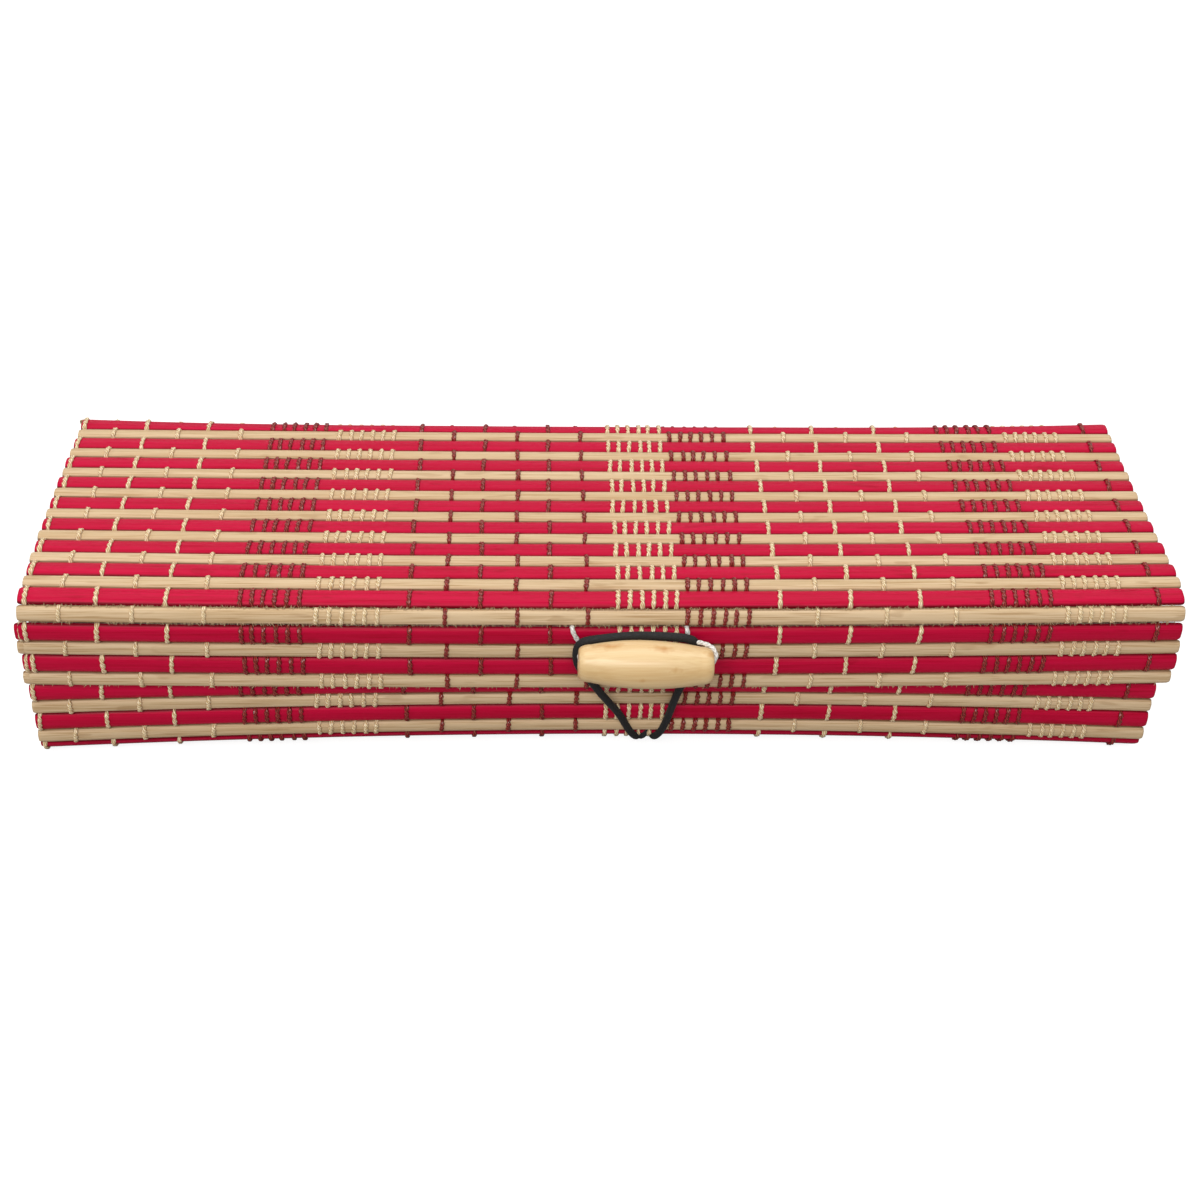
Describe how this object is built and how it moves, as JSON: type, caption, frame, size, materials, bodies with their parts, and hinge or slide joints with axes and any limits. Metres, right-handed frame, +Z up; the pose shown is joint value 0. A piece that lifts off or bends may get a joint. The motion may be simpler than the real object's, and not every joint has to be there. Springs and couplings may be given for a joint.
{
  "type": "bamboo pencil box",
  "caption": "Pencil box of one woven mat of red and natural bamboo slats folded round two end panels, with a hinged lid, a front flap and a wooden toggle bead held by an elastic loop.",
  "frame": {"origin": "on the table, under the middle of the whole box", "axes": "+X runs along the slats, from left to right as seen from the front; -Y is the front with its flap and toggle; +Z is up"},
  "size_m": [0.2216, 0.0798, 0.0404],
  "materials": {
    "red_bamboo": "dyed and waxed, satin",
    "natural_bamboo": "bare split bamboo, satin",
    "panel_wood": "bare, sanded",
    "bead_wood": "turned and lacquered, semi-gloss",
    "lining_cotton": "plain cotton weave",
    "string": "twisted thread",
    "elastic": "braided, matt"
  },
  "bodies": {
    "base": {"front_wall_slats_red": "red_bamboo", "front_wall_slats_natural": "natural_bamboo", "front_bottom_slat": "red_bamboo", "bottom_slats_red": "red_bamboo", "bottom_slats_natural": "natural_bamboo", "back_bottom_slat": "natural_bamboo", "back_wall_slats_red": "red_bamboo", "back_wall_slats_natural": "natural_bamboo", "left_end_panel": "panel_wood", "right_end_panel": "panel_wood", "base_lining": "lining_cotton", "elastic_knot": "elastic"},
    "hinge": {"hinge_slat": "natural_bamboo", "hinge_lining": "lining_cotton"},
    "lid": {"lid_slats_red": "red_bamboo", "lid_slats_natural": "natural_bamboo", "lid_lining": "lining_cotton"},
    "corner": {"front_corner_slat": "natural_bamboo", "corner_lining": "lining_cotton", "string_knots": "string"},
    "flap": {"flap_slats_red": "red_bamboo", "flap_slats_natural": "natural_bamboo", "flap_lining": "lining_cotton"},
    "string": {"bead_string": "string"},
    "bead": {"toggle_bead": "bead_wood"},
    "loop": {"elastic_loop": "elastic"}
  },
  "joints": [
    {"name": "lid_hinge", "type": "hinge", "parent": "base", "child": "hinge", "pos_m": [0, 0.03923, 0.03726], "axis": [-1, 0, 0], "range_deg": [0, 75]},
    {"name": "lid_fold", "type": "hinge", "parent": "hinge", "child": "lid", "pos_m": [0, 0.03672, 0.03977], "axis": [-1, 0, 0], "range_deg": [0, 75]},
    {"name": "corner_fold", "type": "hinge", "parent": "lid", "child": "corner", "pos_m": [0, -0.02689, 0.03858], "axis": [-1, 0, 0], "range_deg": [0, 60]},
    {"name": "flap_fold", "type": "hinge", "parent": "corner", "child": "flap", "pos_m": [0, -0.02829, 0.0353], "axis": [-1, 0, 0], "range_deg": [0, 30]},
    {"name": "toggle_swing", "type": "hinge", "parent": "flap", "child": "string", "pos_m": [0.0076, -0.02829, 0.0353], "axis": [-1, 0, 0], "range_deg": [0, 70], "deforming": ["bead_string"]},
    {"name": "bead_spin", "type": "hinge", "parent": "string", "child": "bead", "pos_m": [0.0076, -0.03524, 0.0308], "axis": [0.9996, 0, -0.0297], "continuous": true},
    {"name": "loop_swing", "type": "hinge", "parent": "base", "child": "loop", "pos_m": [0.0088, -0.02476, 0.00222], "axis": [1, 0, 0], "range_deg": [0, 65], "deforming": ["elastic_loop"]}
  ],
  "couplings": [
    {"joint": "lid_fold", "follows": "lid_hinge", "ratio": 1}
  ]
}
